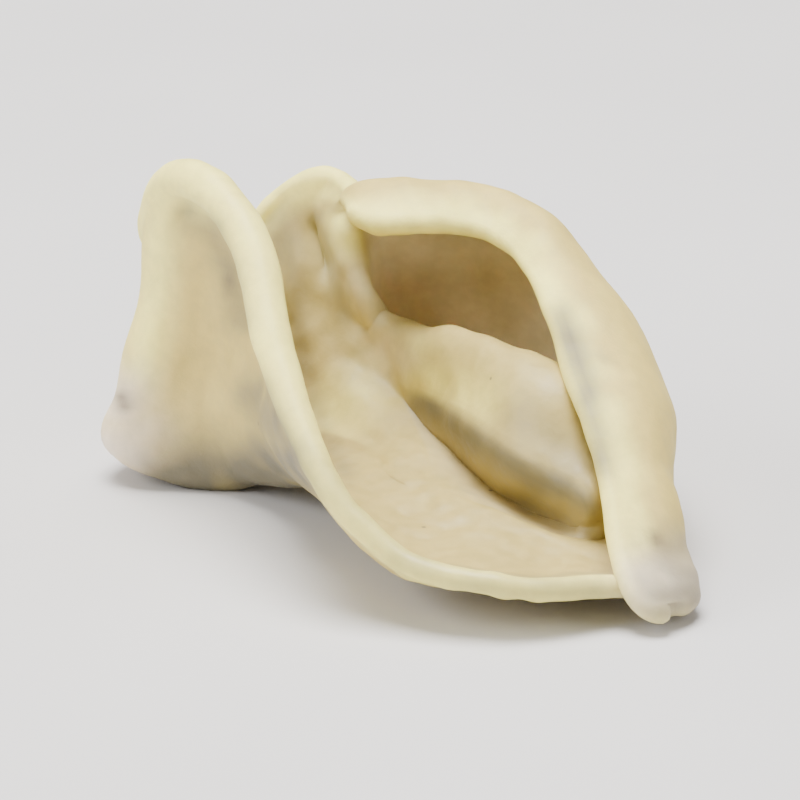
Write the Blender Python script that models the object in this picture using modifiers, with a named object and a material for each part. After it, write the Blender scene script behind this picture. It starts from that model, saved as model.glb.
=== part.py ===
"""A dried white wood ear: one curled, cupped fruit body with a rolled rim.

The ear is one thin sheet. It starts as a coarse cage whose rings run from the
middle of the cup out to the rim. The cage is smoothed by subdivision, given its
thickness by a solidify modifier, set down on the ground and centred.
"""

import math

import bpy
import bmesh
import numpy as np
from mathutils import Vector

MM = 0.001

# Driving dimensions, in millimetres
SHEET_THICKNESS = 0.95
THICKEST_LIP = 2.1
SINK_INTO_GROUND = 0.3
RIM_REACH = 0.25
PUSH = 1.3

# The view from which the ear's points are measured
VIEW_ELEVATION = math.radians(19.6)
VIEW_DISTANCE = 272.0
VIEW_TARGET = np.array([0.0, 8.0, 8.2])
TARGET_UP = 10.8

# The middle of the cup, from which the profiles start
CUP_CENTRE = (1.6, 6.4, 11)

# Profiles from the cup's edge out to the rim, one after another around the ear.
# A point is (across, up in the view, distance away), in millimetres, and the
# last value is the lip's thickness there.
PROFILES = (
    ("foot corner", (5.0, 5.0, 7.8), (5.9, 4.4, 6.9), (6.8, 4.2, 6.6), (8.6, 3.0, 5.0),
     (10.6, 2.0, 3.6), (12.7, 1.6, 2.9), (13.7, 1.6, 1.8), 1.0),
    ("front lip right", (4.0, 4.9, 7.7), (4.8, 4.4, 6.9), (5.5, 4.0, 6.3), (6.4, 3.3, 5.0),
     (7.5, 2.5, 3.6), (8.4, 2.0, 2.0), (9.0, 1.9, 0.2), 1.0),
    ("front lip middle", (2.7, 4.8, 7.6), (3.1, 4.3, 6.9), (3.5, 3.9, 6.1), (4.0, 3.2, 4.8),
     (4.4, 2.4, 3.0), (4.7, 1.9, 1.1), (4.7, 1.9, -1.2), 1.0),
    ("front lip left", (1.2, 5.1, 8.6), (1.0, 4.7, 7.9), (0.7, 4.3, 7.1), (0.5, 3.8, 6.2),
     (0.3, 3.2, 4.6), (0.2, 2.8, 2.8), (0.0, 3.3, 0.4), 1.0),
    ("lip rising", (0.1, 5.9, 10.6), (-0.7, 5.7, 10.6), (-1.4, 5.6, 10.0), (-2.1, 5.3, 8.8),
     (-2.7, 5.4, 7.2), (-3.2, 6.1, 5.0), (-3.6, 7.5, 2.7), 1.3),
    ("lip halfway up", (-0.1, 6.5, 12.0), (-1.8, 7.0, 13.2), (-3.1, 6.9, 13.4), (-4.3, 7.2, 13.0),
     (-5.2, 8.0, 11.6), (-5.7, 9.8, 9.4), (-5.6, 12.5, 7.0), 1.9),
    ("lip high", (-0.5, 6.9, 12.9), (-2.6, 7.7, 15.2), (-4.4, 7.3, 16.8), (-6.0, 7.2, 17.6),
     (-7.2, 8.6, 17.2), (-7.5, 13.4, 15.6), (-7.0, 19.3, 13.0), 2.1),
    ("lobe top", (-0.8, 7.3, 13.8), (-3.0, 8.1, 16.8), (-5.3, 7.5, 18.8), (-7.8, 7.0, 19.4),
     (-9.6, 8.0, 19.0), (-10.0, 14.2, 18.6), (-9.4, 21.9, 16.6), 2.1),
    ("lobe side", (-0.9, 7.7, 14.8), (-3.3, 8.6, 18.2), (-6.0, 8.1, 20.5), (-9.8, 7.2, 20.5),
     (-14.1, 8.6, 19.2), (-11.7, 13.8, 20.4), (-11.4, 21.5, 19.8), 1.9),
    ("nub side", (-0.9, 8.2, 15.7), (-3.4, 9.2, 19.0), (-6.2, 9.1, 22.0), (-9.8, 8.6, 24.0),
     (-13.6, 9.3, 22.3), (-11.4, 13.0, 23.4), (-10.9, 17.8, 23.4), 1.5),
    ("saddle", (-0.8, 8.7, 16.5), (-3.2, 9.9, 19.8), (-5.6, 10.0, 23.0), (-7.8, 10.2, 25.6),
     (-9.2, 11.4, 27.0), (-9.6, 13.0, 27.2), (-9.2, 15.8, 26.8), 1.1),
    ("back wall left", (-0.6, 9.2, 17.2), (-2.8, 10.7, 20.0), (-4.7, 11.3, 23.0),
     (-6.0, 12.2, 25.6), (-6.8, 14.0, 27.4), (-7.2, 16.2, 28.2), (-7.2, 19.2, 28.0), 1.0),
    ("back wall peak", (-0.3, 9.6, 17.8), (-2.2, 11.4, 20.4), (-3.6, 12.7, 22.6),
     (-4.4, 14.6, 24.2), (-4.7, 16.7, 25.4), (-4.8, 19.2, 26.2), (-4.6, 21.6, 26.6), 1.0),
    ("groove", (0.1, 9.9, 18.0), (-1.3, 11.8, 20.6), (-2.3, 13.3, 22.4), (-3.0, 15.2, 23.8),
     (-3.4, 17.2, 25.0), (-3.5, 19.4, 25.6), (-2.2, 21.4, 24.6), 1.0),
    ("pleat", (0.7, 9.8, 17.8), (0.0, 12.2, 20.2), (-0.8, 14.8, 21.6), (-1.4, 16.3, 22.4),
     (-1.8, 18.2, 22.8), (-2.0, 20.7, 22.8), (-1.6, 18.8, 18.8), 1.5),
    ("hood left", (1.7, 9.2, 17.0), (2.5, 10.4, 15.2), (1.3, 15.1, 19.2), (0.0, 12.2, 22.8),
     (-1.3, 14.8, 26.4), (-0.1, 21.3, 22.4), (1.2, 18.9, 18.8), 1.1),
    ("hood middle", (3.9, 7.1, 13.6), (4.7, 9.1, 10.6), (4.0, 14.8, 16.4), (3.6, 6.4, 20.8),
     (3.6, 13.2, 26.2), (4.1, 21.2, 22.2), (4.6, 18.4, 18.9), 1.0),
    ("hood right", (6.3, 5.5, 11.2), (6.4, 7.7, 8.4), (6.6, 13.7, 13.6), (7.5, 6.3, 18.6),
     (8.8, 11.6, 23.5), (8.0, 18.9, 19.0), (6.7, 15.9, 15.2), 1.0),
    ("band top", (8.7, 4.3, 8.8), (9.3, 6.5, 7.6), (8.4, 11.8, 11.8), (11.0, 5.3, 14.3),
     (12.8, 9.4, 15.2), (11.9, 12.3, 11.2), (7.8, 11.5, 9.8), 1.0),
    ("band waist", (7.2, 4.2, 7.5), (8.7, 3.6, 7.2), (10.0, 3.6, 7.9), (11.1, 4.2, 8.2),
     (11.8, 5.6, 7.6), (11.8, 7.4, 6.2), (9.5, 7.6, 5.6), 1.0),
    ("band foot", (5.8, 4.8, 7.6), (6.7, 4.3, 7.0), (7.6, 4.1, 6.8), (9.8, 3.1, 5.2),
     (12.5, 2.0, 4.2), (14.2, 2.0, 2.6), (10.7, 0.5, -0.9), 1.0),
)


def clear_scene():
    """Remove every object that the file starts with."""
    for item in list(bpy.data.objects):
        bpy.data.objects.remove(item, do_unlink=True)


def place(across, up, away):
    """Turn a point measured in the view into x, y and z in millimetres."""
    forward = np.array([0.0, math.cos(VIEW_ELEVATION), -math.sin(VIEW_ELEVATION)])
    upward = np.array([0.0, math.sin(VIEW_ELEVATION), math.cos(VIEW_ELEVATION)])
    eye = VIEW_TARGET - forward * VIEW_DISTANCE
    seen = VIEW_TARGET + np.array([across, 0.0, 0.0]) + upward * (up - TARGET_UP)
    return eye + (seen - eye) * (away - eye[1]) / (seen[1] - eye[1])


def surface_points():
    """Return the cup's middle and the rings of points that the sheet runs through."""
    middle = place(*CUP_CENTRE)
    rows = [[place(*point) for point in profile[1:-1]] for profile in PROFILES]
    return middle, np.array(rows)


def smoothed(middle, rows):
    """Return the rings as subdivision smoothing would leave them."""
    before = np.concatenate([np.broadcast_to(middle, rows[:, :1].shape), rows[:, :-1]], axis=1)
    beyond = 2.0 * rows[:, -1:] - rows[:, -2:-1]
    after = np.concatenate([rows[:, 1:], beyond], axis=1)
    along = (before + 4.0 * rows + after) / 6.0
    return (np.roll(along, 1, axis=0) + 4.0 * along + np.roll(along, -1, axis=0)) / 6.0


def cage_points():
    """Push the rings outwards so that the twice smoothed sheet passes through them.

    The rim reaches out a little further, because rounding it takes that much away.
    """
    middle, rows = surface_points()
    outward = rows[:, -1] - rows[:, -2]
    outward /= np.linalg.norm(outward, axis=-1, keepdims=True)
    rows[:, -1] += RIM_REACH * outward
    return middle, rows + PUSH * (rows - smoothed(middle, rows))


def build_cage(name):
    """Make the open cage of the sheet, with a group that thickens its lip."""
    middle, rows = cage_points()
    count, rings = rows.shape[:2]
    shell = bmesh.new()
    centre = shell.verts.new(Vector(middle * MM))
    grid = [[shell.verts.new(Vector(point * MM)) for point in row] for row in rows]
    for step in range(count):
        here, there = grid[step], grid[(step + 1) % count]
        shell.faces.new((centre, here[0], there[0]))
        for ring in range(rings - 1):
            shell.faces.new((here[ring], here[ring + 1], there[ring + 1], there[ring]))
    bmesh.ops.recalc_face_normals(shell, faces=shell.faces[:])
    shell.verts.index_update()
    mesh = bpy.data.meshes.new(name)
    shell.to_mesh(mesh)
    shell.free()
    ear = bpy.data.objects.new(name, mesh)
    lip = ear.vertex_groups.new(name="lip")
    sheet_share = SHEET_THICKNESS / THICKEST_LIP
    lip.add(range(len(mesh.vertices)), sheet_share, "REPLACE")
    for step in range(count):
        rim_vertex = 1 + step * rings + rings - 1
        lip.add([rim_vertex], PROFILES[step][-1] / THICKEST_LIP, "REPLACE")
    return ear


def add_modifiers(ear):
    """Smooth the cage, give it thickness and round its rim."""
    first = ear.modifiers.new("smooth sheet", "SUBSURF")
    first.levels = first.render_levels = 1
    shell = ear.modifiers.new("sheet thickness", "SOLIDIFY")
    shell.thickness = THICKEST_LIP * MM
    shell.offset = 0.0
    shell.vertex_group = "lip"
    shell.use_even_offset = False
    last = ear.modifiers.new("round rim", "SUBSURF")
    last.levels = last.render_levels = 1


def settle(ear):
    """Apply the modifiers, flatten what touches the ground, and centre the ear."""
    graph = bpy.context.evaluated_depsgraph_get()
    solid = bpy.data.meshes.new_from_object(ear.evaluated_get(graph))
    solid.name = ear.name
    ear.modifiers.clear()
    ear.data = solid
    places = np.empty(len(solid.vertices) * 3)
    solid.vertices.foreach_get("co", places)
    places = places.reshape(-1, 3)
    places[:, 2] -= places[:, 2].min() + SINK_INTO_GROUND * MM
    places[:, 2] = np.maximum(places[:, 2], 0.0)
    low, high = places.min(axis=0), places.max(axis=0)
    places[:, :2] -= (low[:2] + high[:2]) / 2.0
    solid.vertices.foreach_set("co", places.ravel())
    solid.update()
    for face in solid.polygons:
        face.use_smooth = True


def ear_material():
    """Return the ear's ivory, dull material."""
    material = bpy.data.materials.new("dried ear")
    material.use_nodes = True
    shader = material.node_tree.nodes["Principled BSDF"]
    shader.inputs["Base Color"].default_value = (0.74, 0.67, 0.48, 1.0)
    shader.inputs["Roughness"].default_value = 0.6
    shader.inputs["Metallic"].default_value = 0.0
    return material


def main():
    """Build the ear."""
    clear_scene()
    group = bpy.data.collections.new("wood_ear")
    bpy.context.scene.collection.children.link(group)
    ear = build_cage("ear")
    group.objects.link(ear)
    add_modifiers(ear)
    settle(ear)
    ear.data.materials.clear()
    ear.data.materials.append(ear_material())


main()
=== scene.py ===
"""A dried white wood ear: a cupped sheet with a rolled lip, a fold and a curled hood.

The sheet is a smooth surface through given profiles that run from the middle
of the cup out to the rim. It gets its relief, its two skins and its rounded rim
as whole numpy arrays, and one waxy ivory finish that varies over the surface.
"""

import logging
import math
from dataclasses import dataclass
from enum import Enum

import bpy
import numpy as np
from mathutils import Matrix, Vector


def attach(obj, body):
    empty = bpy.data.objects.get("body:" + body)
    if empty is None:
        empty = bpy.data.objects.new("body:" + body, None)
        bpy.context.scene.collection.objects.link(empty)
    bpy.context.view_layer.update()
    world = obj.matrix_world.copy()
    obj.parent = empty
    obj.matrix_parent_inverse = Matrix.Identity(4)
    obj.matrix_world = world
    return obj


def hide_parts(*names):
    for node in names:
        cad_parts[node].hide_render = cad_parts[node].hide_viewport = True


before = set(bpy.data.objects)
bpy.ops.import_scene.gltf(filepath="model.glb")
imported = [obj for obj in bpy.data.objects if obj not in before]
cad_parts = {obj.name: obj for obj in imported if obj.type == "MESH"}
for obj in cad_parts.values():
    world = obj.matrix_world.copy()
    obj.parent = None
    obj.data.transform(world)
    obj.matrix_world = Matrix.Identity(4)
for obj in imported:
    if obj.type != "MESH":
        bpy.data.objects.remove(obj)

LOG = logging.getLogger("wood_ear")
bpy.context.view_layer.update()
MM = 0.001
Point = tuple[float, float, float]
Spot = tuple[float, float]
Colour = tuple[float, float, float]


@dataclass(frozen=True)
class View:
    """The view in which the ear's points are measured, in millimetres.

    A measured point is (across, up, away): its place in the picture plane that
    stands at the target, and its distance away from the viewer.
    """

    elevation: float = math.radians(19.6)
    distance: float = 272.0
    target: Point = (0.0, 8.0, 8.2)
    target_up: float = 10.8

    def forward(self) -> np.ndarray:
        """Return the direction of sight."""
        return np.array([0.0, math.cos(self.elevation), -math.sin(self.elevation)])

    def upward(self) -> np.ndarray:
        """Return the picture's up direction."""
        return np.array([0.0, math.sin(self.elevation), math.cos(self.elevation)])

    def eye(self) -> np.ndarray:
        """Return the place of the eye."""
        return np.array(self.target) - self.forward() * self.distance

    def place(self, measured: np.ndarray) -> np.ndarray:
        """Turn measured points into x, y and z.

        The ray from the eye through the picture point is followed to the depth
        that is given.

        Args:
            measured: Points (across, up, away), in the last axis.

        Returns:
            The points in x, y and z.
        """
        across, up, away = np.moveaxis(np.asarray(measured, float), -1, 0)
        picture = (
            np.array(self.target)
            + across[..., None] * np.array([1.0, 0.0, 0.0])
            + (up - self.target_up)[..., None] * self.upward()
        )
        eye = self.eye()
        reach = (away - eye[1]) / (picture[..., 1] - eye[1])
        return eye + (picture - eye) * reach[..., None]

    def seen(self, points: np.ndarray) -> np.ndarray:
        """Return where points appear in the picture plane.

        Args:
            points: Points in x, y and z.

        Returns:
            Their (across, up) in the picture.
        """
        offset = points - self.eye()
        scale = self.distance / (offset @ self.forward())
        across = offset[..., 0] * scale
        up = (offset @ self.upward()) * scale + self.target_up
        return np.stack([across, up], axis=-1)


@dataclass(frozen=True)
class Profile:
    """A line of the sheet from the cup's edge to the rim, as measured points.

    Attributes:
        name: What the line runs along.
        points: Measured points, the last one on the rim.
        lip: The rim's thickness there, in millimetres.
    """

    name: str
    points: tuple[Point, ...]
    lip: float


@dataclass(frozen=True)
class Crest:
    """A ridge or a groove that runs along a line seen on the sheet.

    Attributes:
        path: The line, as (across, up) places in the view.
        width: Half the width of its bell-shaped section, in millimetres.
        height: How far it rises towards the cup's side, or sinks if negative.
        drag: How far it is carried along in x, y and z, in millimetres.
        lines: The first and the last profile between which it lies.
        rings: The first and the last ring between which it lies.
        fade: The share of its length over which its start and its end fade out.
    """

    path: tuple[Spot, ...]
    width: float
    height: float
    lines: Spot
    rings: Spot
    fade: Spot = (0.2, 0.2)
    drag: Point = (0.0, 0.0, 0.0)


class Mask(Enum):
    """The attributes that tell the finish where it is, each from 0 to 1; most of them carry
    painted shade and painted highlights.
    """

    BACK = "back"
    # Pale rim, and painted highlights on faces that turn from the light
    PALE_RIM_AND_HIGHLIGHT = "rim"
    # Painted tone of the shade deep under the hood
    HOLLOW_SHADE = "hollow_shade"
    # Painted shade in creases, under overhanging edges and on faces that turn from the light
    CREASE = "painted_shade"
    # Rosy skin of the nub and foot, and painted light on the bright fold and the crease's bottom
    ROSY_AND_PAINTED_LIGHT = "rosy_and_painted_light"
    # Painted shade in small pits
    PIT_SHADE = "pit_shade"


class Skin(Enum):
    """Which of the sheet's two faces a painted patch lies on."""

    CUP = "cup"
    BACK = "back"
    BOTH = "both"


@dataclass(frozen=True)
class LightAndTint:
    """A soft-edged line or patch of one mask, as it is seen on the sheet. Patches carry painted
    shade, painted highlights and the skin's own rosy tint, each by its mask.

    Attributes:
        mask: The mask that it belongs to.
        skin: The face that it lies on.
        path: The line, as (across, up) places in the view.
        width: Half the width of its bell-shaped section, in millimetres.
        strength: The mask's value in the middle of the line.
        lines: The first and the last profile between which it lies.
        rings: The first and the last ring between which it lies.
    """

    mask: Mask
    skin: Skin
    path: tuple[Spot, ...]
    width: float
    strength: float
    lines: Spot = (0.0, 21.0)
    rings: Spot = (0.0, 9.0)


# The middle of the cup is a flat ellipse: centre, then its two half axes
CUP_CENTRE = (1.6, 6.4, 11)
CUP_ALONG = (1.8, -0.84, -2)
CUP_ACROSS = (0, 0.8, 1.7)
CUP_PHASE = 19.0

# Profiles from the cup's edge out to the rim, one after another around the ear.
# A point is (across, up in the view, distance away), in millimetres, and the
# last value is the lip's thickness there.
PROFILES = (
    ("foot corner", (5.0, 5.0, 7.8), (5.9, 4.4, 6.9), (6.8, 4.2, 6.6), (8.6, 3.0, 5.0),
     (10.6, 2.0, 3.6), (12.7, 1.6, 2.9), (13.7, 1.6, 1.8), 1.0),
    ("front lip right", (4.0, 4.9, 7.7), (4.8, 4.4, 6.9), (5.5, 4.0, 6.3), (6.4, 3.3, 5.0),
     (7.5, 2.5, 3.6), (8.4, 2.0, 2.0), (9.0, 1.9, 0.2), 1.0),
    ("front lip middle", (2.7, 4.8, 7.6), (3.1, 4.3, 6.9), (3.5, 3.9, 6.1), (4.0, 3.2, 4.8),
     (4.4, 2.4, 3.0), (4.7, 1.9, 1.1), (4.7, 1.9, -1.2), 1.0),
    ("front lip left", (1.2, 5.1, 8.6), (1.0, 4.7, 7.9), (0.7, 4.3, 7.1), (0.5, 3.8, 6.2),
     (0.3, 3.2, 4.6), (0.2, 2.8, 2.8), (0.0, 3.3, 0.4), 1.0),
    ("lip rising", (0.1, 5.9, 10.6), (-0.7, 5.7, 10.6), (-1.4, 5.6, 10.0), (-2.1, 5.3, 8.8),
     (-2.7, 5.4, 7.2), (-3.2, 6.1, 5.0), (-3.6, 7.5, 2.7), 1.3),
    ("lip halfway up", (-0.1, 6.5, 12.0), (-1.8, 7.0, 13.2), (-3.1, 6.9, 13.4), (-4.3, 7.2, 13.0),
     (-5.2, 8.0, 11.6), (-5.7, 9.8, 9.4), (-5.6, 12.5, 7.0), 1.9),
    ("lip high", (-0.5, 6.9, 12.9), (-2.6, 7.7, 15.2), (-4.4, 7.3, 16.8), (-6.0, 7.2, 17.6),
     (-7.2, 8.6, 17.2), (-7.5, 13.4, 15.6), (-7.0, 19.3, 13.0), 2.1),
    ("lobe top", (-0.8, 7.3, 13.8), (-3.0, 8.1, 16.8), (-5.3, 7.5, 18.8), (-7.8, 7.0, 19.4),
     (-9.6, 8.0, 19.0), (-10.0, 14.2, 18.6), (-9.4, 21.9, 16.6), 2.1),
    ("lobe side", (-0.9, 7.7, 14.8), (-3.3, 8.6, 18.2), (-6.0, 8.1, 20.5), (-9.8, 7.2, 20.5),
     (-14.1, 8.6, 19.2), (-11.7, 13.8, 20.4), (-11.4, 21.5, 19.8), 1.9),
    ("nub side", (-0.9, 8.2, 15.7), (-3.4, 9.2, 19.0), (-6.2, 9.1, 22.0), (-9.8, 8.6, 24.0),
     (-13.6, 9.3, 22.3), (-11.4, 13.0, 23.4), (-10.9, 17.8, 23.4), 1.5),
    ("saddle", (-0.8, 8.7, 16.5), (-3.2, 9.9, 19.8), (-5.6, 10.0, 23.0), (-7.8, 10.2, 25.6),
     (-9.2, 11.4, 27.0), (-9.6, 13.0, 27.2), (-9.2, 15.8, 26.8), 1.1),
    ("back wall left", (-0.6, 9.2, 17.2), (-2.8, 10.7, 20.0), (-4.7, 11.3, 23.0),
     (-6.0, 12.2, 25.6), (-6.8, 14.0, 27.4), (-7.2, 16.2, 28.2), (-7.2, 19.2, 28.0), 1.0),
    ("back wall peak", (-0.3, 9.6, 17.8), (-2.2, 11.4, 20.4), (-3.6, 12.7, 22.6),
     (-4.4, 14.6, 24.2), (-4.7, 16.7, 25.4), (-4.8, 19.2, 26.2), (-4.6, 21.6, 26.6), 1.0),
    ("groove", (0.1, 9.9, 18.0), (-1.3, 11.8, 20.6), (-2.3, 13.3, 22.4), (-3.0, 15.2, 23.8),
     (-3.4, 17.2, 25.0), (-3.5, 19.4, 25.6), (-2.2, 21.4, 24.6), 1.0),
    ("pleat", (0.7, 9.8, 17.8), (0.0, 12.2, 20.2), (-0.8, 14.8, 21.6), (-1.4, 16.3, 22.4),
     (-1.8, 18.2, 22.8), (-2.0, 20.7, 22.8), (-1.6, 18.8, 18.8), 1.5),
    ("hood left", (1.7, 9.2, 17.0), (2.5, 10.4, 15.2), (1.3, 15.1, 19.2), (0.0, 12.2, 22.8),
     (-1.3, 14.8, 26.4), (-0.1, 21.3, 22.4), (1.2, 18.9, 18.8), 1.1),
    ("hood middle", (3.9, 7.1, 13.6), (4.7, 9.1, 10.6), (4.0, 14.8, 16.4), (3.6, 6.4, 20.8),
     (3.6, 13.2, 26.2), (4.1, 21.2, 22.2), (4.6, 18.4, 18.9), 1.0),
    ("hood right", (6.3, 5.5, 11.2), (6.4, 7.7, 8.4), (6.6, 13.7, 13.6), (7.5, 6.3, 18.6),
     (8.8, 11.6, 23.5), (8.0, 18.9, 19.0), (6.7, 15.9, 15.2), 1.0),
    ("band top", (8.7, 4.3, 8.8), (9.3, 6.5, 7.6), (8.4, 11.8, 11.8), (11.0, 5.3, 14.3),
     (12.8, 9.4, 15.2), (11.9, 12.3, 11.2), (7.8, 11.5, 9.8), 1.0),
    ("band waist", (7.2, 4.2, 7.5), (8.7, 3.6, 7.2), (10.0, 3.6, 7.9), (11.1, 4.2, 8.2),
     (11.8, 5.6, 7.6), (11.8, 7.4, 6.2), (9.5, 7.6, 5.6), 1.0),
    ("band foot", (5.8, 4.8, 7.6), (6.7, 4.3, 7.0), (7.6, 4.1, 6.8), (9.8, 3.1, 5.2),
     (12.5, 2.0, 4.2), (14.2, 2.0, 2.6), (10.7, 0.5, -0.9), 1.0),
)

LINES = tuple(Profile(line[0], line[1:-1], line[-1]) for line in PROFILES)

CRESTS = (
    # The lower fold's edge overhangs, and the skin under it is hollowed
    Crest(((1.0, 11.0), (2.8, 9.9), (4.5, 8.6), (6.2, 7.6), (8.0, 6.7), (9.8, 6.0)),
          0.8, 0.0, (14.2, 19.0), (2.3, 3.6), (0.3, 0.01), (0.0, -1.3, 0.46)),
    Crest(((0.4, 11.0), (2.2, 9.2), (4.1, 7.6), (6.0, 6.4), (8.4, 5.3)),
          0.8, 0.0, (14.2, 19.0), (1.6, 3.0), (0.3, 0.01), (0.0, 0.15, -0.05)),
    # The hollow's lower edge sags at its left end
    Crest(((-1.6, 16.2), (-0.2, 15.4), (1.4, 14.9), (2.8, 14.4)),
          1.0, 0.0, (13.8, 16.2), (3.2, 4.7), (0.1, 0.4), (0.0, 0.0, -0.9)),
    # The bright fold that comes down beside the hollow, and the groove left of it
    Crest(((-2.4, 19.6), (-2.2, 17.8), (-1.8, 16.2), (-1.3, 14.4)),
          0.6, 0.0, (12.9, 15.0), (3.6, 7.6), (0.1, 0.3), (0.0, -1.0, 0.2)),
    Crest(((-4.0, 20.0), (-3.5, 18.0), (-2.9, 16.2)),
          0.45, 0.0, (12.0, 14.2), (3.8, 7.2), (0.4, 0.3), (0.0, 0.7, 0.0)),
    # The lobe's outer face sinks between its rolled edges, most beside the thick roll
    Crest(((-9.4, 18.6), (-8.9, 15.0), (-8.6, 10.5)),
          1.4, 0.7, (6.0, 8.6), (6.0, 7.8)),
    Crest(((-10.8, 20.4), (-9.4, 20.0), (-8.2, 18.0), (-7.6, 15.2), (-6.9, 12.2), (-5.8, 9.4)),
          0.6, 0.7, (4.6, 8.4), (6.0, 7.95), (0.1, 0.2)),
    Crest(((-11.4, 20.4), (-12.0, 17.0), (-11.8, 13.6), (-13.0, 11.2)),
          0.8, -0.4, (7.6, 10.0), (5.6, 7.9)),
)

LIGHTS_AND_TINTS = (
    # Painted shade under the lower fold's edge, sharp above, and painted light at its bottom
    LightAndTint(Mask.CREASE, Skin.CUP,
          ((1.2, 10.6), (2.4, 9.7), (3.8, 8.7), (5.2, 7.8), (6.8, 6.9), (8.4, 6.2), (9.8, 5.6)),
          0.8, 1.0, (13.9, 19.6), (0.5, 2.85)),
    LightAndTint(Mask.CREASE, Skin.CUP, ((5.6, 6.9), (7.2, 6.0), (9.2, 5.0)),
          0.8, 0.4, (13.9, 19.6), (0.5, 2.85)),
    LightAndTint(Mask.ROSY_AND_PAINTED_LIGHT, Skin.CUP,
          ((0.6, 10.4), (1.8, 8.6), (3.0, 7.2), (4.6, 5.8), (6.6, 5.0), (8.4, 4.4)),
          0.6, 0.2, (13.9, 19.6), (0.5, 2.85)),
    # Painted shade on the fold's lower end, and a painted highlight on its upper part
    LightAndTint(Mask.CREASE, Skin.CUP, ((5.6, 9.8), (8.4, 7.6)), 1.2, 0.4, (15.5, 19.0), (2.9, 4.3)),
    LightAndTint(Mask.PALE_RIM_AND_HIGHLIGHT, Skin.CUP, ((-0.6, 12.4), (1.4, 11.6), (3.8, 10.8)),
          1.2, 0.6, (13.5, 17.0), (2.9, 4.3)),
    # Painted light on the skin between the cup's floor and the bright fold
    LightAndTint(Mask.PALE_RIM_AND_HIGHLIGHT, Skin.CUP, ((-3.6, 9.6), (-1.6, 11.6), (0.2, 13.0)),
          1.5, 0.5, (9.0, 15.6), (0.4, 3.6)),
    # Painted shade along the foot of the high lip, in the groove beside the bright fold and on the
    # back wall
    LightAndTint(Mask.CREASE, Skin.CUP,
          ((-5.4, 18.6), (-5.0, 16.2), (-4.8, 13.8), (-4.4, 11.4), (-3.6, 9.2), (-2.6, 7.4)),
          0.6, 0.4, (4.5, 13.5), (1.5, 7.4)),
    LightAndTint(Mask.CREASE, Skin.CUP, ((-4.1, 19.4), (-3.6, 18.2), (-3.0, 16.2), (-2.6, 14.8)),
          0.4, 0.35, (11.5, 14.5), (3.0, 7.4)),
    LightAndTint(Mask.CREASE, Skin.CUP, ((-6.0, 20.2), (-5.4, 17.4)), 1.0, 0.35, (9.0, 13.0), (4.0, 7.6)),
    # Painted light on the bright fold beside the hollow
    LightAndTint(Mask.PALE_RIM_AND_HIGHLIGHT, Skin.CUP, ((-2.6, 19.0), (-2.2, 16.8), (-1.6, 14.8), (-0.6, 12.8)),
          1.0, 1.0, (12.4, 15.4), (2.4, 7.4)),
    LightAndTint(Mask.ROSY_AND_PAINTED_LIGHT, Skin.CUP, ((-2.2, 16.8), (-1.6, 14.8), (-0.4, 12.6)),
          1.0, 0.6, (12.4, 15.4), (2.4, 7.0)),
    # Painted shade on the band's flank beside the hollow and on the edge of its foot
    LightAndTint(Mask.CREASE, Skin.BACK, ((7.7, 14.6), (8.5, 12.6), (8.9, 10.6), (9.4, 7.4)),
          0.8, 0.8, (16.5, 20.0), (7.4, 8.0)),
    LightAndTint(Mask.CREASE, Skin.BOTH, ((13.2, 3.4), (13.6, 1.6), (12.4, 1.4)), 1.3, 0.75),
    # Painted shade on the front lip, which keeps it hardly paler than the cup
    LightAndTint(Mask.CREASE, Skin.BOTH,
          ((-4.4, 8.4), (-2.6, 6.2), (0.0, 3.4), (2.6, 2.4), (5.0, 2.0), (9.4, 1.8)),
          0.9, 0.4, (0.0, 4.0), (6.6, 8.0)),
    LightAndTint(Mask.CREASE, Skin.BOTH, ((4.0, 1.8), (9.4, 1.6)), 0.9, 0.4, (19.6, 21.0), (6.6, 8.0)),
    # The lobe: a painted highlight along its left side, and painted shade under its rolled edge
    # and low down
    LightAndTint(Mask.PALE_RIM_AND_HIGHLIGHT, Skin.BACK, ((-11.4, 20.6), (-11.6, 17.4), (-11.9, 14.4), (-12.4, 12.0)),
          0.9, 1.0, (6.5, 9.0)),
    LightAndTint(Mask.CREASE, Skin.BACK, ((-9.9, 19.7), (-8.9, 18.9), (-8.1, 17.0), (-7.6, 14.6)),
          0.7, 0.6, (5.0, 9.5), (5.5, 8.0)),
    LightAndTint(Mask.CREASE, Skin.BACK, ((-10.6, 6.6), (-8.4, 7.0), (-5.4, 7.4)),
          2.3, 1.0, (3.4, 8.6)),
    LightAndTint(Mask.CREASE, Skin.BACK, ((-6.8, 11.0), (-5.0, 8.0)), 1.2, 0.75, (3.4, 8.0)),
    # Rosy grey skin on the nub and on the foot
    LightAndTint(Mask.ROSY_AND_PAINTED_LIGHT, Skin.BOTH, ((-13.8, 8.4), (-13.0, 8.4)), 2.0, 1.0),
    LightAndTint(Mask.ROSY_AND_PAINTED_LIGHT, Skin.BOTH, ((-13.3, 10.4), (-13.1, 11.0)), 1.4, 0.9),
    LightAndTint(Mask.ROSY_AND_PAINTED_LIGHT, Skin.BOTH, ((12.0, 2.0), (14.2, 2.2)), 1.8, 1.0),
    # Painted shade in small pits, as dark spots
    LightAndTint(Mask.PIT_SHADE, Skin.BOTH, ((-13.25, 10.9), (-13.1, 10.6)), 0.45, 0.8, (7.4, 8.2)),
    LightAndTint(Mask.PIT_SHADE, Skin.BOTH, ((12.1, 4.3), (12.25, 4.1)), 0.35, 0.75, (18.0, 21.0), (7.0, 8.0)),
    LightAndTint(Mask.PIT_SHADE, Skin.BOTH, ((-8.2, 16.3), (-8.15, 16.1)), 0.28, 0.5, (5.0, 9.0)),
    LightAndTint(Mask.PIT_SHADE, Skin.BOTH, ((9.7, 12.8), (9.8, 12.7)), 0.3, 0.25, (16.0, 20.0), (7.0, 8.0)),
)
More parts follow.
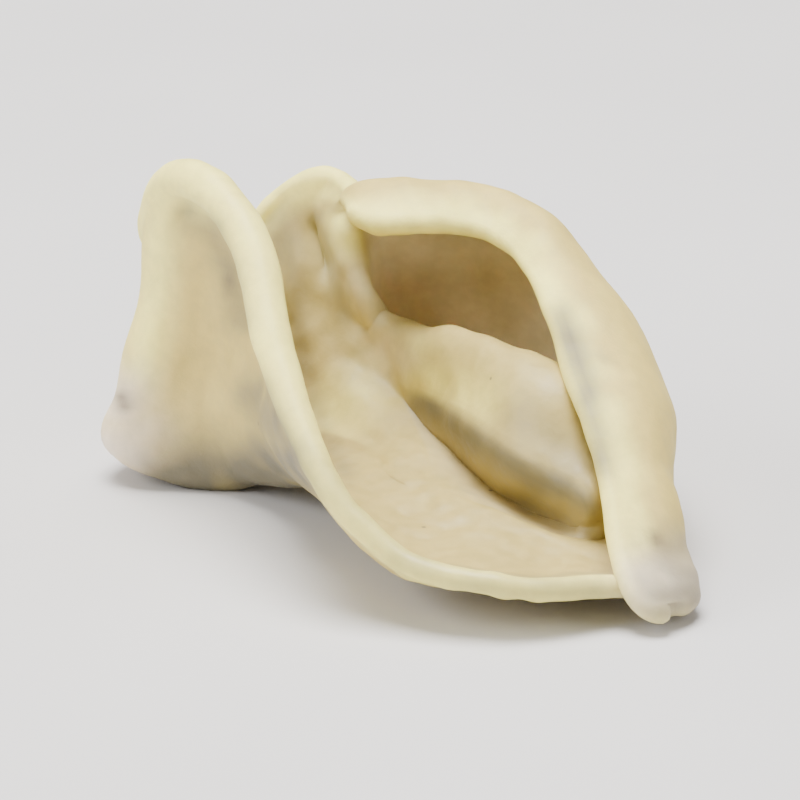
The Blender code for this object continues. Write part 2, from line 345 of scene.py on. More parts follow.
# The part of the sheet that lies deep under the hood, where the tone of its shade is painted
HOLLOW_SHADE_LINES = (14.6, 18.2)
HOLLOW_SHADE_RINGS = (4.9, 6.3)
# How softly a crest's or a painted patch's own part of the sheet ends, in profiles and rings
LINE_FADE = 0.4
CREST_RING_FADE = 0.3
LIGHT_AND_TINT_RING_FADE = 0.2


def smooth_step(values: np.ndarray, start: float, end: float) -> np.ndarray:
    """Return 0 below start and 1 above end, with t^2 (3 - 2 t) between them."""
    share = np.clip((values - start) / (end - start), 0.0, 1.0)
    return share * share * (3.0 - 2.0 * share)


def window(values: np.ndarray, span: Spot, soft: float) -> np.ndarray:
    """Return 1 inside the span, falling smoothly to 0 over soft beyond it."""
    rise = smooth_step(values, span[0] - soft, span[0])
    return rise * (1.0 - smooth_step(values, span[1], span[1] + soft))


@dataclass(frozen=True)
class Ripple:
    """A smooth random relief, a sum of cos(k . p + phase) over random waves.

    Attributes:
        height: About how high it is.
        wavelength: The waves' length, in millimetres.
        seed: The seed of the random directions and phases.
        waves: How many waves are summed.
    """

    height: float
    wavelength: float
    seed: int
    waves: int = 24

    def field(self, points: np.ndarray) -> np.ndarray:
        """Return the relief's value at places in x, y and z, in millimetres."""
        draw = np.random.default_rng(self.seed)
        ways = draw.normal(size=(self.waves, 3))
        ways /= np.linalg.norm(ways, axis=1, keepdims=True)
        rates = 2.0 * math.pi / self.wavelength * draw.uniform(0.7, 1.4, size=(self.waves, 1))
        phases = draw.uniform(0.0, 2.0 * math.pi, size=self.waves)
        total = np.zeros(points.shape[:-1])
        for way, phase in zip(ways * rates, phases):
            total += np.cos(points @ way + phase)
        return self.height * total * math.sqrt(2.0 / self.waves)


def near_line(seen: np.ndarray, path: tuple[Spot, ...]) -> tuple[np.ndarray, np.ndarray]:
    """Measure how far seen places lie from a line of straight steps.

    Args:
        seen: Places (across, up) in the view.
        path: The line's corners.

    Returns:
        The distance to the line, and the share of its length at the nearest point.
    """
    corners = np.array(path)
    steps = len(corners) - 1
    nearest = np.full(seen.shape[:-1], np.inf)
    along = np.zeros(seen.shape[:-1])
    for step in range(steps):
        start, run = corners[step], corners[step + 1] - corners[step]
        share = np.clip(((seen - start) @ run) / (run @ run), 0.0, 1.0)
        gap = np.linalg.norm(seen - start - share[..., None] * run, axis=-1)
        closer = gap < nearest
        nearest = np.where(closer, gap, nearest)
        along = np.where(closer, (step + share) / steps, along)
    return nearest, along


@dataclass(frozen=True)
class Sheet:
    """The sheet's middle surface: a closed fan of profiles smoothed by a spline.

    The rings' points are pushed outwards once, so that the smoothed surface
    passes through the measured ones. The surface is a uniform cubic B-spline,
    closed around the ear and open at the rim.

    Attributes:
        view: The view in which the points are measured.
        profiles: The lines from the cup's edge to the rim, around the ear.
        cup_centre: The measured middle of the cup.
        cup_along: The first half axis of the cup's flat middle.
        cup_across: The second half axis.
        cup_phase: The profile that leaves the cup along the first half axis.
    """

    view: View
    profiles: tuple[Profile, ...]
    cup_centre: Point
    cup_along: Point
    cup_across: Point
    cup_phase: float

    def rings(self) -> np.ndarray:
        """Return the points that the sheet runs through, by profile and ring."""
        count = len(self.profiles)
        angle = 2.0 * math.pi * (self.cup_phase - np.arange(count))[:, None] / count
        centre, along, across = map(np.array, (self.cup_centre, self.cup_along, self.cup_across))
        edge = centre + np.cos(angle) * along + np.sin(angle) * across
        walls = np.array([profile.points for profile in self.profiles])
        return self.view.place(np.concatenate([edge[:, None], walls], axis=1))

    def net(self) -> np.ndarray:
        """Return the net: pushed = 2 rings - smoothed rings, with a row added at each end."""
        rings = self.rings()
        middle = np.broadcast_to(self.view.place(np.array(self.cup_centre)), rings[:, :1].shape)
        before = np.concatenate([middle, rings[:, :-1]], axis=1)
        after = np.concatenate([rings[:, 1:], 2.0 * rings[:, -1:] - rings[:, -2:-1]], axis=1)
        along = (before + 4.0 * rings + after) / 6.0
        smooth = (np.roll(along, 1, axis=0) + 4.0 * along + np.roll(along, -1, axis=0)) / 6.0
        pushed = 2.0 * rings - smooth
        pushed[:, 0] = rings[:, 0]
        opposite = 2.0 * middle - pushed[:, :1]
        beyond = 2.0 * pushed[:, -1:] - pushed[:, -2:-1]
        return np.concatenate([opposite, middle, pushed, beyond], axis=1)

    @staticmethod
    def weights(share: np.ndarray) -> np.ndarray:
        """Return the four cubic B-spline weights at a share of a step."""
        rest = 1.0 - share
        first = 3.0 * share ** 3 - 6.0 * share ** 2 + 4.0
        second = 3.0 * rest ** 3 - 6.0 * rest ** 2 + 4.0
        return np.stack([rest ** 3, first, second, share ** 3], axis=-1) / 6.0

    def along_rim(self, around: np.ndarray, values: np.ndarray) -> np.ndarray:
        """Blend the profiles' values at places around the ear."""
        line = np.floor(around).astype(int)
        turns = (line[:, None] + np.arange(-1, 3)) % len(self.profiles)
        return np.einsum("uk,uk...->u...", self.weights(around - line), values[turns])

    def surface(self, around: np.ndarray, out: np.ndarray) -> np.ndarray:
        """Return the surface's points on a grid.

        Args:
            around: Places around the ear, in profiles from the first one.
            out: Places from the middle, 0, to the rim, the number of rings, with
                one row for each place around.

        Returns:
            Points with one row for each place around.
        """
        strips = self.along_rim(around, self.net())
        ring = np.minimum(np.floor(out).astype(int), strips.shape[1] - 4)
        steps = ring[..., None] + np.arange(4)
        near = strips[np.arange(len(around))[:, None, None], steps]
        return np.einsum("uvk,uvkc->uvc", self.weights(out - ring), near)

    def rings_count(self) -> int:
        """Return how many rings the sheet has, the cup's edge included."""
        return len(self.profiles[0].points) + 1


@dataclass(frozen=True)
class Ear:
    """The dried ear: the sheet with its relief, two skins and a rounded rim.

    Attributes:
        sheet: The smooth middle surface.
        crests: The ridges and grooves pressed into it.
        lights_and_tints: The lines and patches of its masks: painted shade, painted highlights and
            rosy tint.
        thickness: The sheet's thickness away from the rim, in millimetres.
        sink: How much of the lowest skin is pressed flat on the ground.
        waves: The low waves of the whole sheet.
        uneven: The share by which the sheet's thickness varies.
        cup_grain: The small relief of the cup's skin.
        back_grain: The small relief of the back's skin.
        patches: How unevenly the masks are spread.
        pale_rim: Where the rim's pale skin starts to fade and ends, in millimetres.
        around: The number of steps around the ear.
        out: The number of steps from the middle to the rim.
        rim_steps: The number of steps over the rounded rim.
    """

    sheet: Sheet
    crests: tuple[Crest, ...]
    lights_and_tints: tuple[LightAndTint, ...]
    thickness: float = 0.95
    sink: float = 0.3
    waves: Ripple = Ripple(0.10, 6.0, 3)
    uneven: Ripple = Ripple(0.08, 3.0, 11)
    cup_grain: Ripple = Ripple(0.025, 1.5, 21)
    back_grain: Ripple = Ripple(0.035, 1.2, 22)
    patches: Ripple = Ripple(0.35, 2.5, 31)
    pale_rim: Spot = (0.4, 2.2)
    around: int = 440
    out: int = 92
    rim_steps: int = 12

    def places(self) -> tuple[np.ndarray, np.ndarray]:
        """Return the grid's places around the ear and from the middle to the rim.

        The grid ends half the lip's thickness before the rim, where the rounding
        starts.
        """
        around = np.arange(self.around) * len(self.sheet.profiles) / self.around
        rim = np.full((self.around, 1), float(self.sheet.rings_count()))
        step = np.array([0.0, 0.05])
        last = self.sheet.surface(around, rim - step)
        speed = np.linalg.norm(last[:, 0] - last[:, 1], axis=-1, keepdims=True) / step[1]
        end = rim - self.lip_radius(around) / speed
        return around, end * np.linspace(0.0, 1.0, self.out + 1)[1:]

    def lip_radius(self, around: np.ndarray) -> np.ndarray:
        """Return half the rim's thickness at places around the ear, as a column."""
        lips = np.array([profile.lip for profile in self.sheet.profiles])
        return self.sheet.along_rim(around, lips)[:, None] / 2.0

    @staticmethod
    def facing(points: np.ndarray) -> np.ndarray:
        """Return the unit normals, towards the cup's side, of a grid that closes around."""
        turning = np.roll(points, -1, axis=0) - np.roll(points, 1, axis=0)
        leaving = np.gradient(points, axis=1)
        normals = np.cross(turning, leaving)
        return normals / np.linalg.norm(normals, axis=-1, keepdims=True)

    @staticmethod
    def calmed(field: np.ndarray, passes: int) -> np.ndarray:
        """Smooth a grid by (1, 2, 1) / 4 around it and along it, its two edges kept."""
        for _ in range(passes):
            field = (np.roll(field, 1, axis=0) + 2.0 * field + np.roll(field, -1, axis=0)) / 4.0
            inner = (field[:, :-2] + 2.0 * field[:, 1:-1] + field[:, 2:]) / 4.0
            field = np.concatenate([field[:, :1], inner, field[:, -1:]], axis=1)
        return field

    def relief(self, points: np.ndarray, around: np.ndarray, out: np.ndarray) -> np.ndarray:
        """Return the step by which each point of the middle surface moves.

        Each crest adds (height * normal + drag) * exp(-(distance / width)^2), faded
        at its ends and kept to its own part of the sheet.
        """
        seen = self.sheet.view.seen(points)
        normals = self.facing(points)
        turns, rings = np.broadcast_arrays(around[:, None], out)
        low = self.waves.field(points) * smooth_step(rings, 0.5, 2.0)
        moved = normals * low[..., None]
        for crest in self.crests:
            gap, along = near_line(seen, crest.path)
            ends = smooth_step(along, 0.0, crest.fade[0])
            ends = ends * smooth_step(1.0 - along, 0.0, crest.fade[1])
            here = window(turns, crest.lines, LINE_FADE)
            here = here * window(rings, crest.rings, CREST_RING_FADE)
            bell = (np.exp(-((gap / crest.width) ** 2)) * ends * here)[..., None]
            moved = moved + bell * (crest.height * normals + np.array(crest.drag))
        return moved

    @staticmethod
    def way_to_rim(points: np.ndarray) -> np.ndarray:
        """Return how far each point of a grid is from its last column, along its row."""
        steps = np.linalg.norm(np.diff(points, axis=1), axis=-1)
        way = np.cumsum(steps[:, ::-1], axis=1)[:, ::-1]
        return np.concatenate([way, np.zeros_like(way[:, :1])], axis=1)

    def half_thickness(self, points: np.ndarray, around: np.ndarray) -> np.ndarray:
        """Return half the sheet's thickness, with a round bead along the rim.

        With s the way from the rim along the sheet and r half the lip's
        thickness, the bead is sqrt(r^2 - s^2), blended with the flat sheet by
        (a^6 + b^6)^(1/6).
        """
        way = self.way_to_rim(points)
        radius = self.lip_radius(around)
        bead = np.sqrt(np.maximum(radius ** 2 - way ** 2, 0.0))
        flat = self.thickness / 2.0 * (1.0 + self.uneven.field(points))
        return (flat ** 6 + bead ** 6) ** (1.0 / 6.0)

    def skins(self) -> tuple[np.ndarray, np.ndarray, np.ndarray, np.ndarray]:
        """Return the cup's skin, the rim's rounding, the back's skin and the middle's ends."""
        around, out = self.places()
        middle = self.sheet.surface(around, out)
        middle = middle + self.relief(middle, around, out)
        normals = self.calmed(self.facing(middle), 3)
        normals /= np.linalg.norm(normals, axis=-1, keepdims=True)
        half = self.half_thickness(middle, around)
        cup = middle + normals * (half + self.cup_grain.field(middle))[..., None]
        back = middle - normals * (half + self.back_grain.field(middle))[..., None]
        cup, back = self.calmed(cup, 2), self.calmed(back, 2)
        top, bottom = cup[:, -1], back[:, -1]
        turning = np.roll(middle[:, -1], -1, axis=0) - np.roll(middle[:, -1], 1, axis=0)
        outward = np.cross(turning, top - bottom)
        outward /= np.linalg.norm(outward, axis=-1, keepdims=True)
        inner = middle[:, -1] - middle[:, -2]
        outward *= np.sign(np.sum(outward * inner, axis=-1, keepdims=True))
        angle = np.linspace(0.0, math.pi, self.rim_steps + 1)[1:-1]
        centre, reach = (top + bottom) / 2.0, (top - bottom) / 2.0
        radius = np.linalg.norm(reach, axis=-1)
        rim = (
            centre[:, None]
            + np.cos(angle)[:, None] * reach[:, None]
            + np.sin(angle)[:, None] * (outward * radius[:, None])[:, None]
        )
        poles = np.stack([cup[:, 0].mean(axis=0), back[:, 0].mean(axis=0)])
        return cup, rim, back, poles

    def build(self, name: str) -> tuple[bpy.types.Object, Vector]:
        """Make the ear's closed mesh, set down on the ground and centred.

        The grid runs from the cup's middle over the rim to the back's middle. It
        closes around the ear, and a fan of triangles closes each middle.

        Args:
            name: The new object's name.

        Returns:
            The object, and the step that moved it from the measured place.
        """
        cup, rim, back, poles = self.skins()
        grid = np.concatenate([cup, rim, back[:, ::-1]], axis=1)
        turns, columns = grid.shape[:2]
        points = np.concatenate([grid.reshape(-1, 3), poles])
        here = np.arange(turns)[:, None] * columns + np.arange(columns - 1)
        there = np.roll(here, -1, axis=0)
        quads = np.stack([here, there, there + 1, here + 1], axis=-1).reshape(-1, 4)
        start = np.arange(turns) * columns
        stop = start + columns - 1
        first = np.stack([np.full(turns, turns * columns), np.roll(start, -1), start], axis=-1)
        last = np.stack([np.full(turns, turns * columns + 1), stop, np.roll(stop, -1)], axis=-1)
        if self.volume(points, quads) < 0.0:
            quads, first, last = quads[:, ::-1], first[:, ::-1], last[:, ::-1]
        step = np.append(-(points[:, :2].min(axis=0) + points[:, :2].max(axis=0)) / 2.0, 0.0)
        step[2] = -points[:, 2].min() - self.sink
        points = points + step
        points[:, 2] = np.maximum(points[:, 2], 0.0)
        mesh = bpy.data.meshes.new(name)
        mesh.from_pydata(points * MM, [], quads.tolist() + first.tolist() + last.tolist())
        mesh.shade_smooth()
        for mask, values in self.masks(grid).items():
            values = np.append(values.ravel(), values[:, [0, -1]].mean(axis=0))
            layer = mesh.attributes.new(mask.value, "FLOAT", "POINT")
            layer.data.foreach_set("value", np.clip(values, 0.0, 1.0).astype(np.float32))
        ear = bpy.data.objects.new(name, mesh)
        bpy.context.scene.collection.objects.link(ear)
        return ear, Vector(step * MM)

    @staticmethod
    def volume(points: np.ndarray, quads: np.ndarray) -> float:
        """Return the sum of a . (b x c) / 6 over the quads' triangles."""
        corners = points[quads]
        total = 0.0
        for second, third in ((1, 2), (2, 3)):
            cross = np.cross(corners[:, second], corners[:, third])
            total += float(np.sum(corners[:, 0] * cross)) / 6.0
        return total

    def masks(self, grid: np.ndarray) -> dict[Mask, np.ndarray]:
        """Return where the finish changes, painted shade and painted highlights included, for each
        point of the closed grid.

        Args:
            grid: The measured places, from the cup's middle to the back's middle.

        Returns:
            The masks' values on the same grid.
        """
        around, out = self.places()
        ends = np.full((self.around, self.rim_steps - 1), self.sheet.rings_count())
        rings = np.concatenate([out, ends, out[:, ::-1]], axis=1)
        cup_way = self.way_to_rim(grid[:, :self.out])
        back_way = self.way_to_rim(grid[:, :-self.out - 1:-1])[:, ::-1]
        way = np.concatenate([cup_way, 0.0 * ends, back_way], axis=1)
        rim_share = np.linspace(0.0, 1.0, self.rim_steps + 1)[1:-1]
        sides = np.concatenate([np.zeros(self.out), rim_share, np.ones(self.out)])
        sides = np.broadcast_to(sides, grid.shape[:2])
        turns = np.broadcast_to(around[:, None], grid.shape[:2])
        seen = self.sheet.view.seen(grid)
        patchy = self.patches.field(grid)
        faces = {Skin.CUP: 1.0 - sides, Skin.BACK: sides, Skin.BOTH: np.ones_like(sides)}
        painted = {mask: np.zeros(sides.shape) for mask in Mask}
        painted[Mask.BACK] = smooth_step(sides, 0.3, 0.9)
        # The pale rim; the patches below add painted highlights to this mask
        painted[Mask.PALE_RIM_AND_HIGHLIGHT] = 1.0 - smooth_step(way + 0.5 * patchy, *self.pale_rim)
        # Painted tone of the shade deep under the hood
        hood_shade = window(turns, HOLLOW_SHADE_LINES, 0.8) * window(rings, HOLLOW_SHADE_RINGS, 1.0)
        painted[Mask.HOLLOW_SHADE] = hood_shade * (1.0 - sides) * (1.0 + 0.3 * patchy)
        for light_and_tint in self.lights_and_tints:
            gap, _ = near_line(seen, light_and_tint.path)
            here = window(turns, light_and_tint.lines, LINE_FADE)
            here = here * window(rings, light_and_tint.rings, LIGHT_AND_TINT_RING_FADE)
            bell = np.exp(-((gap / light_and_tint.width) ** 2)) * (1.0 + 0.3 * patchy)
            value = light_and_tint.strength * bell * here * faces[light_and_tint.skin]
            painted[light_and_tint.mask] = np.maximum(painted[light_and_tint.mask], value)
        return painted


class Graph:
    """A node tree that is filled and joined node by node."""

    def __init__(self, tree: bpy.types.NodeTree) -> None:
        """Keep the tree."""
        self.tree = tree

    def add(self, kind: str, **settings: object) -> bpy.types.Node:
        """Add a node and set its options."""
        node = self.tree.nodes.new(kind)
        for name, value in settings.items():
            setattr(node, name, value)
        return node

    def feed(self, value: object, socket: bpy.types.NodeSocket) -> None:
        """Link a socket to the input, or store a plain number or colour there."""
        if isinstance(value, bpy.types.NodeSocket):
            self.tree.links.new(value, socket)
        elif isinstance(value, tuple) and socket.type == "RGBA":
            socket.default_value = (*value, 1.0)
        else:
            socket.default_value = value

    def math(self, operation: str, first: object, second: object) -> bpy.types.NodeSocket:
        """Join two numbers by an operation."""
        node = self.add("ShaderNodeMath", operation=operation)
        self.feed(first, node.inputs[0])
        self.feed(second, node.inputs[1])
        return node.outputs[0]

    def span(self, value: object, source: Spot, target: Spot) -> bpy.types.NodeSocket:
        """Map a number smoothly from one span to another."""
        node = self.add("ShaderNodeMapRange", interpolation_type="SMOOTHSTEP")
        self.feed(value, node.inputs["Value"])
        node.inputs["From Min"].default_value, node.inputs["From Max"].default_value = source
        node.inputs["To Min"].default_value, node.inputs["To Max"].default_value = target
        return node.outputs["Result"]

    def mix(
        self, share: object, first: object, second: object, how: str = "MIX"
    ) -> bpy.types.NodeSocket:
        """Blend two colours by a share."""
        node = self.add("ShaderNodeMix", data_type="RGBA", blend_type=how)
        self.feed(share, node.inputs["Factor"])
        self.feed(first, node.inputs[6])
        self.feed(second, node.inputs[7])
        return node.outputs[2]

    def grey(self, value: object, low: float, high: float) -> bpy.types.NodeSocket:
        """Return a grey that goes from low to high with a value from 0 to 1."""
        level = self.span(value, (0.0, 1.0), (low, high))
        node = self.add("ShaderNodeCombineColor")
        for socket in node.inputs[:3]:
            self.feed(level, socket)
        return node.outputs[0]

    def noise(self, place: object, scale: object, detail: float = 2.0) -> bpy.types.NodeSocket:
        """Add a cloud noise."""
        node = self.add("ShaderNodeTexNoise")
        self.feed(place, node.inputs["Vector"])
        self.feed(scale, node.inputs["Scale"])
        node.inputs["Detail"].default_value = detail
        return node.outputs["Fac"]

    def attribute(self, name: str) -> bpy.types.NodeSocket:
        """Read one of the mesh's masks."""
        return self.add("ShaderNodeAttribute", attribute_name=name).outputs["Fac"]

    def group(self, tree: bpy.types.NodeTree, **inputs: object) -> bpy.types.Node:
        """Place a node group and give it its inputs."""
        node = self.add("ShaderNodeGroup", node_tree=tree)
        for name, value in inputs.items():
            self.feed(value, node.inputs[name])
        return node


def new_group(
    name: str, inputs: dict[str, str], outputs: dict[str, str]
) -> tuple[Graph, bpy.types.Node, bpy.types.Node]:
    """Make an empty shader node group.

    Args:
        name: The group's name.
        inputs: The type of each input socket by its name.
        outputs: The type of each output socket by its name.

    Returns:
        The group's graph, its input node and its output node.
    """
    tree = bpy.data.node_groups.new(name, "ShaderNodeTree")
    for socket, kind in inputs.items():
        tree.interface.new_socket(socket, in_out="INPUT", socket_type=kind)
    for socket, kind in outputs.items():
        tree.interface.new_socket(socket, in_out="OUTPUT", socket_type=kind)
    graph = Graph(tree)
    return graph, graph.add("NodeGroupInput"), graph.add("NodeGroupOutput")


def clouds_group() -> bpy.types.NodeTree:
    """Return the group whose Shade is a soft cloud pattern of a size in millimetres."""
    graph, given, made = new_group(
        "clouds",
        {"Place": "NodeSocketVector", "Size": "NodeSocketFloat"},
        {"Shade": "NodeSocketFloat"},
    )
    scale = graph.math("DIVIDE", 1.0 / MM, given.outputs["Size"])
    shade = graph.noise(given.outputs["Place"], scale, 3.0)
    graph.feed(graph.span(shade, (0.25, 0.75), (0.0, 1.0)), made.inputs["Shade"])
    return graph.tree


def grain_group() -> bpy.types.NodeTree:
    """Return the group whose Height is fine wrinkled skin or short velvet hair."""
    graph, given, made = new_group(
        "skin grain",
        {"Place": "NodeSocketVector", "Velvet": "NodeSocketFloat"},
        {"Height": "NodeSocketFloat"},
    )
    place = given.outputs["Place"]
    skin = graph.noise(place, 1.0 / (0.9 * MM), 4.0)
    wrinkle = graph.math("ABSOLUTE", graph.math("SUBTRACT", skin, 0.5), 0.0)
    hair = graph.noise(place, 1.0 / (0.14 * MM), 2.0)
    velvet = graph.math("MULTIPLY", hair, given.outputs["Velvet"])
    graph.feed(graph.math("ADD", graph.math("MULTIPLY", wrinkle, 2.0), velvet),
               made.inputs["Height"])
    return graph.tree


def specks_group() -> bpy.types.NodeTree:
    """Return the group whose Mask marks rare small dark specks."""
    graph, given, made = new_group(
        "specks", {"Place": "NodeSocketVector"}, {"Mask": "NodeSocketFloat"}
    )
    cells = graph.add("ShaderNodeTexVoronoi")
    graph.feed(given.outputs["Place"], cells.inputs["Vector"])
    cells.inputs["Scale"].default_value = 1.0 / (1.6 * MM)
    near = graph.span(cells.outputs["Distance"], (0.04, 0.09), (1.0, 0.0))
    chosen = graph.add("ShaderNodeSeparateColor")
    graph.feed(cells.outputs["Color"], chosen.inputs[0])
    rare = graph.math("GREATER_THAN", chosen.outputs[0], 0.93)
    graph.feed(graph.math("MULTIPLY", near, rare), made.inputs["Mask"])
    return graph.tree


@dataclass(frozen=True)
class Patterns:
    """The pattern groups, each built once and placed in every material.

    Attributes:
        clouds: A soft cloud pattern.
        grain: Fine wrinkled skin or short velvet hair.
        specks: Rare small dark specks.
    """

    clouds: bpy.types.NodeTree
    grain: bpy.types.NodeTree
    specks: bpy.types.NodeTree


@dataclass(frozen=True)
class EarFinish:
    """The dull, waxy ivory skin of the dried ear, with painted shade and painted highlights in its
    colour.

    Attributes:
        cup: Colour of the smooth face inside the cup.
        back: Colour of the velvety face outside.
        rim: Colour of the pale rim, and of painted highlights on faces that turn from the light.
        hollow_shade: Painted colour that sets the tone of the shade deep under the hood.
        painted_shade: Colour of the painted shade in creases, under overhanging edges, low on the
            lobe, on the foot and along the front lip.
        rosy_and_painted_light: Colour of the nub's and the foot's rosy skin, also painted as light
            on the bright fold and at the bottom of the crease under the lower fold.
        speck_and_pit_shade: Colour of the small dark specks, and of the painted shade in small
            pits.
        cup_roughness: Roughness inside the cup.
        back_roughness: Roughness outside.
        glow: Share of the light that passes through the skin.
        glow_reach: How far red, green and blue light travel inside, in millimetres.
        cloud_size: Size of the soft clouds in the colour, in millimetres.
        cloud_greys: The clouds' darkest and lightest grey.
        mottle_size: Size of the fine mottling, in millimetres.
        mottle_greys: The mottling's darkest and lightest grey.
        velvet: How strong the short hair is inside the cup and outside.
        grain_strength: Strength of the finest relief.
        grain_depth: Depth of the finest relief, in millimetres.
    """

    cup: Colour = (0.48, 0.375, 0.12)
    back: Colour = (0.63, 0.49, 0.14)
    # Pale rim, also used for painted highlights
    rim: Colour = (0.96, 0.86, 0.25)
    # Painted colour of the shade deep under the hood
    hollow_shade: Colour = (0.88, 0.78, 0.55)
    # Colour of the painted shade
    painted_shade: Colour = (0.18, 0.158, 0.10)
    # Rosy skin of the nub and foot, also used for painted light
    rosy_and_painted_light: Colour = (0.80, 0.68, 0.53)
    # Dark specks, and the painted shade in small pits
    speck_and_pit_shade: Colour = (0.12, 0.09, 0.06)
    cup_roughness: float = 0.48
    back_roughness: float = 0.64
    glow: float = 0.2
    glow_reach: Point = (0.8, 0.6, 0.35)
    cloud_size: float = 3.2
    cloud_greys: Spot = (0.86, 1.04)
    mottle_size: float = 0.6
    mottle_greys: Spot = (0.90, 1.05)
    velvet: Spot = (0.15, 0.9)
    grain_strength: float = 0.35
    grain_depth: float = 0.05

    def dress(self, name: str, patterns: Patterns) -> bpy.types.Material:
        """Return the material, which reads Object coordinates and the skin's masks."""
        material = bpy.data.materials.new(name)
        material.use_nodes = True
        graph = Graph(material.node_tree)
        shader = material.node_tree.nodes["Principled BSDF"]
        shader.inputs["Subsurface Weight"].default_value = self.glow
        shader.inputs["Subsurface Radius"].default_value = self.glow_reach
        shader.inputs["Subsurface Scale"].default_value = MM
        place = graph.add("ShaderNodeTexCoord").outputs["Object"]
        # The masks: back face, pale rim with painted highlights, painted shade under the hood,
        # painted shade, rosy skin with painted light, and painted shade in pits
        back, rim, hollow_shade, painted_shade, rosy_and_painted_light, dark = (graph.attribute(mask.value) for mask in Mask)
        clouds = graph.group(patterns.clouds, Place=place, Size=self.cloud_size)
        clouds = clouds.outputs["Shade"]
        mottle = graph.group(patterns.clouds, Place=place, Size=self.mottle_size)
        mottle = mottle.outputs["Shade"]
        specks = graph.group(patterns.specks, Place=place).outputs["Mask"]
        colour = graph.mix(back, self.cup, self.back)
        # Pale rim and painted highlights
        colour = graph.mix(rim, colour, self.rim)
        # Rosy skin and painted light
        colour = graph.mix(rosy_and_painted_light, colour, self.rosy_and_painted_light)
        # Painted tone of the shade under the hood
        colour = graph.mix(hollow_shade, colour, self.hollow_shade)
        # Painted shade
        colour = graph.mix(painted_shade, colour, self.painted_shade)
        colour = graph.mix(0.5, colour, graph.grey(clouds, *self.cloud_greys), "MULTIPLY")
        colour = graph.mix(0.5, colour, graph.grey(mottle, *self.mottle_greys), "MULTIPLY")
        # Dark specks, and the painted shade in pits
        specks_and_pit_shade = graph.math("MAXIMUM", graph.math("MULTIPLY", specks, 0.7), dark)
        graph.feed(graph.mix(specks_and_pit_shade, colour, self.speck_and_pit_shade), shader.inputs["Base Color"])
        rough = graph.span(back, (0.0, 1.0), (self.cup_roughness, self.back_roughness))
        rough = graph.math("ADD", rough, graph.span(mottle, (0.0, 1.0), (-0.05, 0.07)))
        graph.feed(rough, shader.inputs["Roughness"])
        velvet = graph.span(back, (0.0, 1.0), self.velvet)
        grain = graph.group(patterns.grain, Place=place, Velvet=velvet).outputs["Height"]
        bump = graph.add("ShaderNodeBump")
        bump.inputs["Strength"].default_value = self.grain_strength
        bump.inputs["Distance"].default_value = self.grain_depth * MM
        graph.feed(grain, bump.inputs["Height"])
        graph.feed(bump.outputs["Normal"], shader.inputs["Normal"])
        return material


@dataclass(frozen=True)
class FloorFinish:
    """A matt, pale grey table top with a faint cloudiness.

    Attributes:
        light: The lighter grey.
        dark: The darker grey.
        roughness: Roughness of the surface.
        cloud_size: Size of the clouds, in millimetres.
    """

    light: Colour = (0.62, 0.61, 0.62)
    dark: Colour = (0.58, 0.57, 0.58)
    roughness: float = 0.7
    cloud_size: float = 40.0

    def dress(self, name: str, patterns: Patterns) -> bpy.types.Material:
        """Return the material."""
        material = bpy.data.materials.new(name)
        material.use_nodes = True
        graph = Graph(material.node_tree)
        shader = material.node_tree.nodes["Principled BSDF"]
        shader.inputs["Roughness"].default_value = self.roughness
        place = graph.add("ShaderNodeTexCoord").outputs["Object"]
        clouds = graph.group(patterns.clouds, Place=place, Size=self.cloud_size)
        colour = graph.mix(clouds.outputs["Shade"], self.dark, self.light)
        graph.feed(colour, shader.inputs["Base Color"])
        return material


@dataclass(frozen=True)
class Lamp:
    """A soft square lamp that points at the ear.

    Attributes:
        name: The lamp's name.
        place: Where it stands, in metres.
        size: The length of its sides, in metres.
        power: Its strength, in watts.
        colour: The colour of its light.
    """

    name: str
    place: Point
    size: float
    power: float
    colour: Colour = (1.0, 1.0, 1.0)

    def light(self) -> bpy.types.Object:
        """Return the lamp, lit and aimed at the origin."""
        data = bpy.data.lights.new(self.name, "AREA")
        data.shape = "SQUARE"
        data.size = self.size
        data.energy = self.power
        data.color = self.colour
        lamp = bpy.data.objects.new(self.name, data)
        lamp.location = self.place
        lamp.rotation_euler = (-Vector(self.place)).to_track_quat("-Z", "Y").to_euler()
        bpy.context.scene.collection.objects.link(lamp)
        return lamp


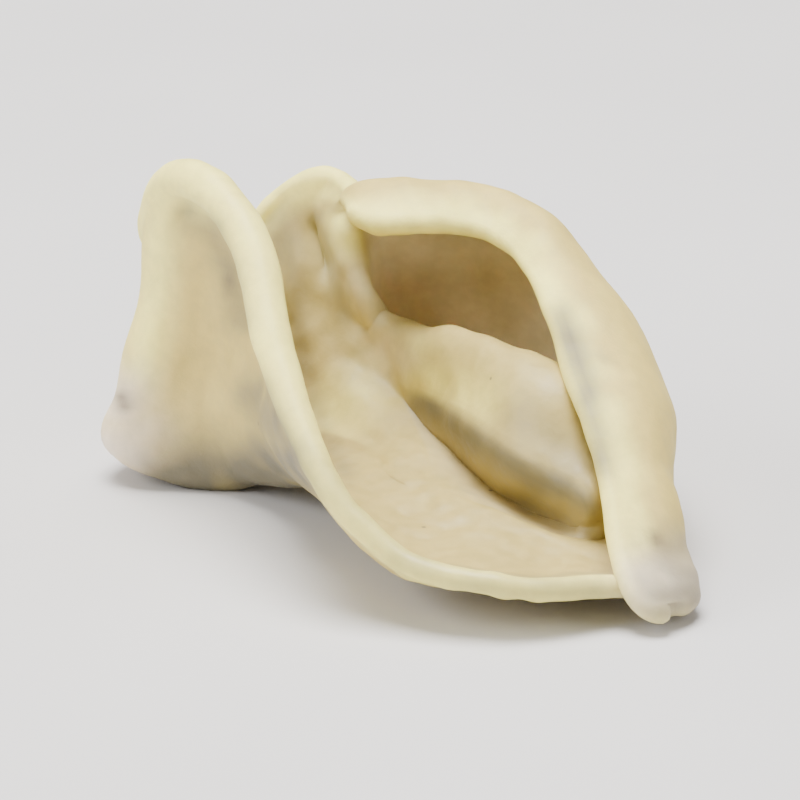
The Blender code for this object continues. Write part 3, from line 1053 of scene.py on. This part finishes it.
@dataclass(frozen=True)
class Studio:
    """The floor, the soft lamps and the camera.

    Attributes:
        view: The view in which the ear was measured.
        frame_width: The width that the picture shows at the ear, in millimetres.
        sensor: The width of the camera's sensor, in millimetres.
        floor_reach: Half the floor's width, in metres.
        floor_cells: The number of the floor's cells along one side.
        lamps: The lamps.
        sky: The even light from all around.
        sky_strength: Its strength.
    """

    view: View
    frame_width: float = 38.0
    sensor: float = 36.0
    floor_reach: float = 3.0
    floor_cells: int = 8
    lamps: tuple[Lamp, ...] = (
        Lamp("top lamp", (-0.04, 0.02, 0.48), 0.30, 7.6, (1.0, 0.98, 0.94)),
        Lamp("right lamp", (0.42, -0.20, 0.26), 0.36, 1.2, (1.0, 0.98, 0.94)),
        Lamp("left lamp", (-0.44, -0.16, 0.26), 0.36, 3.2, (1.0, 0.99, 0.96)),
    )
    sky: Colour = (1.0, 0.99, 0.97)
    sky_strength: float = 0.2

    def lay_floor(self, material: bpy.types.Material) -> bpy.types.Object:
        """Return the floor, a flat square grid on the ground."""
        mesh = bpy.data.meshes.new("floor")
        cells, row = self.floor_cells, self.floor_cells + 1
        steps = np.linspace(-self.floor_reach, self.floor_reach, row)
        across, away = np.meshgrid(steps, steps, indexing="ij")
        points = np.stack([across, away, np.zeros_like(across)], axis=-1).reshape(-1, 3)
        corner = (np.arange(cells)[:, None] * row + np.arange(cells)).ravel()
        quads = np.stack([corner, corner + row, corner + row + 1, corner + 1], axis=-1)
        mesh.from_pydata(points, [], quads.tolist())
        mesh.materials.append(material)
        floor = bpy.data.objects.new("floor", mesh)
        bpy.context.scene.collection.objects.link(floor)
        return floor

    def light(self) -> list[bpy.types.Object]:
        """Light the lamps and the sky, and return the lamps."""
        world = bpy.data.worlds.new("soft sky")
        world.use_nodes = True
        sky = world.node_tree.nodes["Background"]
        sky.inputs["Color"].default_value = (*self.sky, 1.0)
        sky.inputs["Strength"].default_value = self.sky_strength
        bpy.context.scene.world = world
        return [lamp.light() for lamp in self.lamps]

    def aim_camera(self, step: Vector) -> bpy.types.Object:
        """Return the camera, at the measured view's eye moved by the ear's own step.

        Its lens is sensor width * distance / frame width.
        """
        data = bpy.data.cameras.new("camera")
        data.sensor_width = self.sensor
        data.lens = self.sensor * self.view.distance / self.frame_width
        data.clip_start = 0.01
        camera = bpy.data.objects.new("camera", data)
        camera.location = Vector(self.view.eye() * MM) + step
        forward = Vector(self.view.forward())
        camera.rotation_euler = forward.to_track_quat("-Z", "Y").to_euler()
        bpy.context.scene.collection.objects.link(camera)
        bpy.context.scene.camera = camera
        return camera


def main() -> None:
    """Build the ear and its studio."""
    logging.basicConfig(level=logging.INFO, format="%(name)s: %(message)s")
    view = View()
    sheet = Sheet(view, LINES, CUP_CENTRE, CUP_ALONG, CUP_ACROSS, CUP_PHASE)
    ear, step = Ear(sheet, CRESTS, LIGHTS_AND_TINTS).build("dried_ear")
    patterns = Patterns(clouds_group(), grain_group(), specks_group())
    ear.data.materials.append(EarFinish().dress("dried ear skin", patterns))
    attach(ear, "root")
    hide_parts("ear")
    LOG.info("ear: %d faces", len(ear.data.polygons))
    studio = Studio(view)
    floor = studio.lay_floor(FloorFinish().dress("pale table", patterns))
    LOG.info("floor: %d faces", len(floor.data.polygons))
    LOG.info("lamps: %d", len(studio.light()))
    LOG.info("camera: lens %.0f mm", studio.aim_camera(step).data.lens)


if __name__ == "__main__":
    main()
